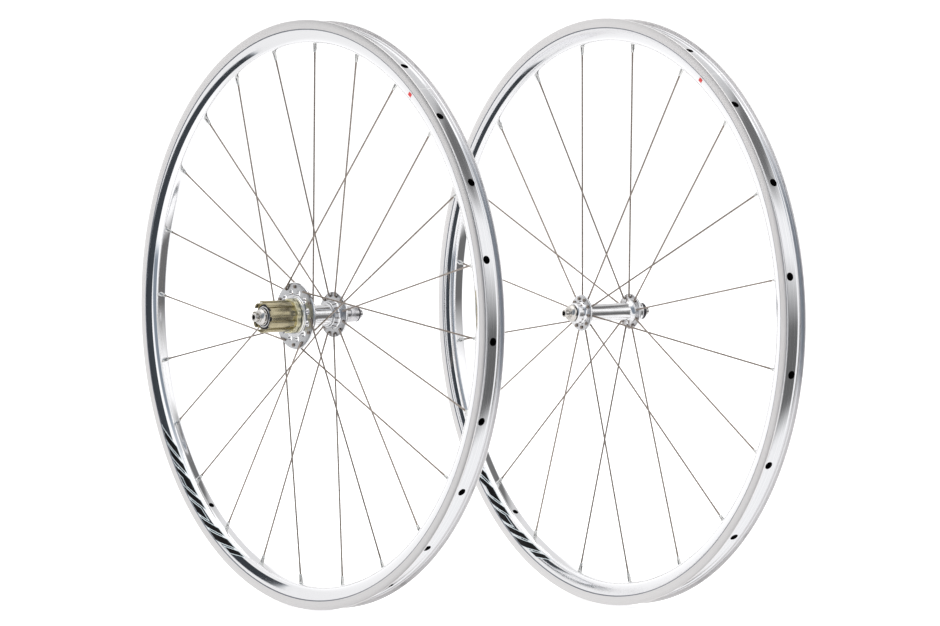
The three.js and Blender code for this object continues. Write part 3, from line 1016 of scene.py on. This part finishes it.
def freehub():
    gold = hard_anodised("hard_anodised_freehub", "#aaa184", "#b6ad91", 0.22)
    pale = hard_anodised("hard_anodised_edges", "#e0d9b6", "#ebe5c6", 0.3)
    barrel = extruded_outline("freehub_splines", around_splines(SPLINE), -60.5, -24.0)
    # the mouth is wider than the grooves' floor, so the splines end as teeth round it
    cut_with(barrel, [rod(15.5, -61.5, -57.0, 72)])
    cut_with(barrel, [rod(13.45, -58.0, -55.6, 72)])
    cut_with(barrel, [rod(10.8, -57.0, -51.9, 64)])
    cut_with(barrel, [rod(8.6, -53.0, -20.0, 64)])
    bevelled(barrel, 0.25, 2, 50)
    smooth(barrel, 30)
    dress(barrel, gold)
    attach(barrel, "freehub")
    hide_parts("freehub_body")

    # the stop flange, scalloped where the splines' cutter ran out
    flange = extruded_outline("freehub_flange", around_splines(SCALLOP), -26.6, -21.3)
    cut_with(flange, [rod(13.0, -27.5, -20, 64)])
    bevelled(flange, 0.3, 2, 50)
    smooth(flange, 30)
    dress(flange, pale)
    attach(flange, "freehub")

    # the skirt that the hub shell hides
    skirt = turned(
        "freehub_skirt",
        [(8.6, -24.0), (13.4, -24.0), (13.8, -21.3), (13.8, -12.7), (13.5, -12.4), (7.0, -12.4),
         (7.0, -22)],
        72,
    )
    smooth(skirt, 30)
    dress(skirt, gold)
    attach(skirt, "freehub")

    seal = turned(
        "freehub_seal",
        [(11.0, -56.5), (13.4, -56.5), (13.4, -57.1), (13.2, -57.3), (11.3, -57.3), (11.0, -57.1)],
        96,
    )
    smooth(seal, 30)
    dress(seal, seal_rubber())
    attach(seal, "freehub")
    shield = turned(
        "freehub_shield",
        [(9.9, -57.0), (11.4, -57.0), (11.4, -58.3), (11.1, -58.6), (10.4, -58.6), (10.0, -58.3),
         (9.9, -57.9)],
        96,
    )
    smooth(shield, 30)
    dress(shield, machined(REAR, "freehub_shield", "#b9b9bc", "#d8d8da", 0.2))
    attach(shield, "freehub")


# ---- printed marks ----

FILM = 0.06
# Slanted bars, as (start, end, lean) in degrees round the wheel and (low, high) across the wall.
BARS = [
    (-17.6, -14.6, 8.0, 0.02, 0.8),
    (-13.2, -10.6, 8.0, 0.02, 0.8),
    (-9.0, -4.4, 8.0, 0.3, 0.8),
    (-8.6, -6.6, 8.0, 0.02, 0.3),
    (-3.0, -0.4, 8.0, 0.02, 0.8),
    (1.0, 4.6, 8.0, 0.02, 0.5),
    (6.0, 8.6, 8.0, 0.02, 0.8),
    (10.0, 13.4, 8.0, 0.02, 0.8),
    (14.8, 17.2, 8.0, 0.26, 0.8),
]
# a pale film under each bar shows as an edge round it
BAR_EDGES = [
    (start - 0.4, end + 0.4, lean, max(0.0, low - 0.04), min(0.84, high + 0.04))
    for start, end, lean, low, high in BARS
]
RED_DASH = [(-0.5, 0.5, 1.0, 0.14, 0.46)]


def wall_point(s, w, proud, side, first):
    """A point on the polished wall: s is degrees on from first, w runs 0 to 1 from track to bed."""
    path = (BED_CORNER + WALL_HALF)[::-1]
    along = w * (len(path) - 1)
    k = min(int(along), len(path) - 2)
    t = along - k
    r = path[k][0] * (1 - t) + path[k + 1][0] * t
    y = path[k][1] * (1 - t) + path[k + 1][1] * t
    slope = Vector((path[k + 1][0] - path[k][0], path[k + 1][1] - path[k][1])).normalized()
    normal = Vector((slope.y, -slope.x))
    if normal.y < 0:
        normal = -normal
    r += normal.x * proud
    y += normal.y * proud
    a = math.radians(first + s)
    return (r * math.cos(a) * MM, side * y * MM, r * math.sin(a) * MM)


def mark(name, bars, wheel, side, first, proud, material):
    """Flat bars of film laid on the wall. A bar is (start, end, lean, low, high)."""
    pieces = []
    for number, (start, end, lean, low, high) in enumerate(bars):
        columns, rows = max(2, int(abs(end - start) * 3)), 8
        bpy.ops.mesh.primitive_grid_add(x_subdivisions=columns, y_subdivisions=rows, size=2 * MM)
        patch = added(f"{name}_{number}")
        for vertex in patch.data.vertices:
            u = (vertex.co.x / MM + 1) / 2
            v = (vertex.co.y / MM + 1) / 2
            w = low + (high - low) * v
            s = start + (end - start) * u + lean * (w - 0.5)
            vertex.co = wall_point(s, w, proud, side, first)
        pieces.append(patch)
    piece = joined(pieces, name)
    edit(piece)
    bpy.ops.mesh.select_all(action="SELECT")
    bpy.ops.mesh.normals_make_consistent(inside=False)
    leave_edit()
    # turn the film's outer face away from the rim
    face = piece.data.polygons[0]
    if face.normal.y * side < 0:
        piece.data.flip_normals()
    pick(piece)
    modifier = piece.modifiers.new("film", "SOLIDIFY")
    modifier.thickness = FILM * MM
    modifier.offset = -1
    bpy.ops.object.modifier_apply(modifier=modifier.name)
    smooth(piece, 40)
    dress(piece, material)
    in_wheel(piece, wheel)
    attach(piece, wheel["body"])


# ---- build ----

# painted shade for the inside of the rim's drilled holes
HOLE_PAINTED_SHADE = shaded_bore()
# painted shade: the groove beside the brake track drawn as a darker satin grey
GROOVE_PAINTED_SHADE = satin_metal("groove_painted_shade", "#7f828b", "#9a9da6")
# painted dark reflection: the axles' end rings drawn near black
END_RING_PAINTED_REFLECTION = satin_metal("end_rings_painted_dark_reflection", "#39373a", "#5b595e")
WIRE_FINISH = drawn_stainless()
NIPPLE_FINISH = plated_brass()
BLACK_FILM = printed_film("black_printed_film", "#060507", "#0e0d10", 0.4)
PALE_FILM = printed_film("pale_printed_film", "#cfdbe0", "#e2ebee")
RED_FILM = printed_film("red_printed_film", "#c8282c", "#e04444")

nipple_master = nipple_pattern("pattern_nipple")

rim("rear_rim_hoop", "rear_rim", REAR)
rim("front_rim_hoop", "front_rim", FRONT)
rear_hub()
front_hub()
axles()
freehub()
lace_rear()
lace_front()

for wheel, name in ((REAR, "rear"), (FRONT, "front")):
    for side, where in ((-1, "left"), (1, "right")):
        first = wheel["valve"] - 1.5
        mark(f"{name}_{where}_bar_edges", BAR_EDGES, wheel, side, first, 0.07, PALE_FILM)
        mark(f"{name}_{where}_bars", BARS, wheel, side, first, 0.12, BLACK_FILM)
    opposite_valve = wheel["valve"] + 180.6
    mark(f"{name}_red_mark", RED_DASH, wheel, -1, opposite_valve, 0.1, RED_FILM)

for pattern in [*spoke_patterns.values(), nipple_master]:
    bpy.data.objects.remove(pattern, do_unlink=True)

# CAD pieces that stay as they are: the bearings and the pawls
BEARING_FINISH = satin_metal("ground_bearing_steel", "#5c5e63", "#85878c")
PAWL_FINISH = satin_metal("hardened_tool_steel", "#4c4d51", "#6d6f74")
BEARINGS = (
    "rear_bearing_drive", "rear_bearing_other", "freehub_bearing", "front_bearing_left",
    "front_bearing_right",
)
for name in BEARINGS:
    dress(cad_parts[name], BEARING_FINISH)
for name in ("pawl_1", "pawl_2"):
    dress(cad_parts[name], PAWL_FINISH)

# ---- floor, light and camera ----

bpy.ops.mesh.primitive_plane_add(size=30, location=(0, 0, cad_box[0][2] - 0.0004))
floor = added("studio_floor")
floor_finish, _, floor_shader = finish("white_paper_floor", "#fdfdfd", 0.0, 0.9)
floor_shader.inputs["Specular IOR Level"].default_value = 0.1
# the paper is lit from beneath as well, so it stays white where the wheels stand
floor_shader.inputs["Emission Color"].default_value = (1, 1, 1, 1)
floor_shader.inputs["Emission Strength"].default_value = 0.55
dress(floor, floor_finish)
# polished metal mirrors the room below the floor's level too, with its dark flags
floor.visible_glossy = False


def studio_world():
    """An even white room. Dark flags stand round it, and they give the polished metal its edges."""
    world = bpy.data.worlds.new("studio")
    bpy.context.scene.world = world
    world.use_nodes = True
    tree = world.node_tree
    background = tree.nodes["Background"]
    way = node(tree, "ShaderNodeTexCoord").outputs["Generated"]
    parts = node(tree, "ShaderNodeSeparateXYZ", links={"Vector": way})
    # azimuth from -Y towards +X
    azimuth = maths(
        tree,
        "ARCTAN2",
        parts.outputs["X"],
        maths(tree, "MULTIPLY", parts.outputs["Y"], -1.0),
    )
    height = parts.outputs["Z"]
    # the same from +Y towards -X, for what stands behind
    behind = maths(
        tree,
        "ARCTAN2",
        maths(tree, "MULTIPLY", parts.outputs["X"], -1.0),
        parts.outputs["Y"],
    )

    # the normal that a polished wall needs, to mirror each direction to the camera
    towards_camera = (0.7749, -0.6311, 0.0347)
    sum_of_both = node(
        tree, "ShaderNodeVectorMath", {"operation": "ADD"}, {0: way}, {1: towards_camera}
    )
    normal = node(
        tree,
        "ShaderNodeVectorMath",
        {"operation": "NORMALIZE"},
        {0: sum_of_both.outputs["Vector"]},
    )
    normal_parts = node(
        tree, "ShaderNodeSeparateXYZ", links={"Vector": normal.outputs["Vector"]}
    )
    tilt = maths(
        tree, "ARCCOSINE", maths(tree, "MULTIPLY", normal_parts.outputs["Y"], -1.0), None
    )
    around = maths(tree, "ARCTAN2", normal_parts.outputs["Z"], normal_parts.outputs["X"])

    def flag(turn, middle, half, soft, low, high, soft_height, fade=None):
        """1 on a dark flag: its middle, half width and soft edge in degrees, and its heights.

        fade is the softness of its upper edge, where that differs."""
        off = maths(tree, "SUBTRACT", turn, math.radians(middle))
        off = maths(tree, "ABSOLUTE", off, None)
        across = spread(tree, off, math.radians(half), math.radians(half + soft), 1.0, 0.0)
        above = spread(tree, height, low - soft_height, low, 0.0, 1.0)
        below = spread(tree, height, high, high + (fade or soft_height), 1.0, 0.0)
        return maths(tree, "MULTIPLY", across, maths(tree, "MULTIPLY", above, below))

    def hoop_flag(middle, half, soft, drift, start, end, fade_in, fade_out):
        """1 on a flag bent like a hoop: the walls that mirror it tilt by middle, give or take half.

        drift moves the middle on the way round, and start and end bound that way in degrees."""
        off = maths(tree, "SUBTRACT", tilt, math.radians(middle))
        off = maths(tree, "ABSOLUTE", maths(tree, "SUBTRACT", off, drift), None)
        across = spread(tree, off, math.radians(half), math.radians(half + soft), 1.0, 0.0)
        first = spread(tree, around, math.radians(start - fade_in), math.radians(start), 0.0, 1.0)
        last = spread(tree, around, math.radians(end), math.radians(end + fade_out), 1.0, 0.0)
        return maths(tree, "MULTIPLY", across, maths(tree, "MULTIPLY", first, last))

    def kept(mask, share):
        return maths(tree, "SUBTRACT", 1.0, maths(tree, "MULTIPLY", mask, share))

    # a tall hoop of a flag in front, and a small one inside it
    backwards = maths(tree, "MULTIPLY", around, -1.0)
    bow = maths(tree, "MAXIMUM", backwards, maths(tree, "MULTIPLY", around, 0.5))
    tall = hoop_flag(12.4, 6.8, 0.8, maths(tree, "MULTIPLY", bow, 0.088), -75, 85, 3, 3)
    slip = maths(tree, "MULTIPLY", around, 0.45)
    small = hoop_flag(42, 12, 6, slip, -12, 22, 3, 20)
    # flags on the right and behind: low, high, and over the left shoulder
    low = flag(azimuth, 130, 26, 8, -0.46, -0.08, 0.14, fade=0.38)
    high = flag(behind, -24, 14, 24, 0.6, 1.0, 0.12)
    shoulder = flag(behind, 35, 24, 10, 0.55, 0.9, 0.1)
    level = maths(tree, "MULTIPLY", kept(tall, 0.93), kept(small, 0.66))
    level = maths(tree, "MULTIPLY", level, kept(low, 0.86))
    behind_both = maths(tree, "MULTIPLY", kept(high, 0.84), kept(shoulder, 0.3))
    level = maths(tree, "MULTIPLY", level, behind_both)
    # a softer wall on the left front, which the flat faces mirror
    soft_wall = flag(azimuth, -53, 9, 22, -1.0, 1.0, 0.1)
    glow = spread(tree, soft_wall, 0.0, 1.0, 1.22, 1.0)
    tree.links.new(maths(tree, "MULTIPLY", level, glow), background.inputs["Strength"])
    cool = maths(tree, "MAXIMUM", tall, small)
    colour = node(
        tree,
        "ShaderNodeMix",
        {"data_type": "RGBA"},
        {0: cool},
        {6: (1, 1, 1, 1), 7: (0.64, 0.74, 0.86, 1)},
    )
    tree.links.new(colour.outputs[2], background.inputs["Color"])


studio_world()


def softbox(name, size, location, target, power):
    bpy.ops.object.light_add(type="AREA", location=location)
    light = bpy.context.object
    light.name = name
    light.data.shape = "RECTANGLE"
    light.data.size, light.data.size_y = size
    light.data.energy = power
    light.rotation_mode = "QUATERNION"
    light.rotation_quaternion = (Vector(target) - Vector(location)).to_track_quat("-Z", "Y")


softbox("top_softbox", (3.5, 3.5), (0.1, 0.1, 3.2), (0.1, 0.1, 0), 18)

# Angles in degrees. The shift moves the camera sideways and up, from where it would face the origin.
CAMERA = {
    "azimuth": 50.85,
    "elevation": 1.989,
    "roll": -0.523,
    "distance": 2853.49,
    "shift": (174.9, 2.532),
    "lens": 101.253,
}


def camera():
    a, e, roll = (math.radians(CAMERA[k]) for k in ("azimuth", "elevation", "roll"))
    back = Vector((math.sin(a) * math.cos(e), -math.cos(a) * math.cos(e), math.sin(e)))
    right = Vector((math.cos(a), math.sin(a), 0))
    up = back.cross(right)
    across = right * math.cos(roll) + up * math.sin(roll)
    upward = up * math.cos(roll) - right * math.sin(roll)
    place = back * CAMERA["distance"] + across * CAMERA["shift"][0] + upward * CAMERA["shift"][1]
    bpy.ops.object.camera_add()
    cam = bpy.context.object
    cam.name = "camera"
    matrix = Matrix((across, upward, back)).transposed().to_4x4()
    matrix.translation = place * MM
    cam.matrix_world = matrix
    cam.data.sensor_width = 36
    cam.data.lens = CAMERA["lens"]
    cam.data.clip_start, cam.data.clip_end = 0.05, 60
    bpy.context.scene.camera = cam


camera()
bpy.context.scene.view_settings.view_transform = "Standard"

bpy.context.view_layer.update()
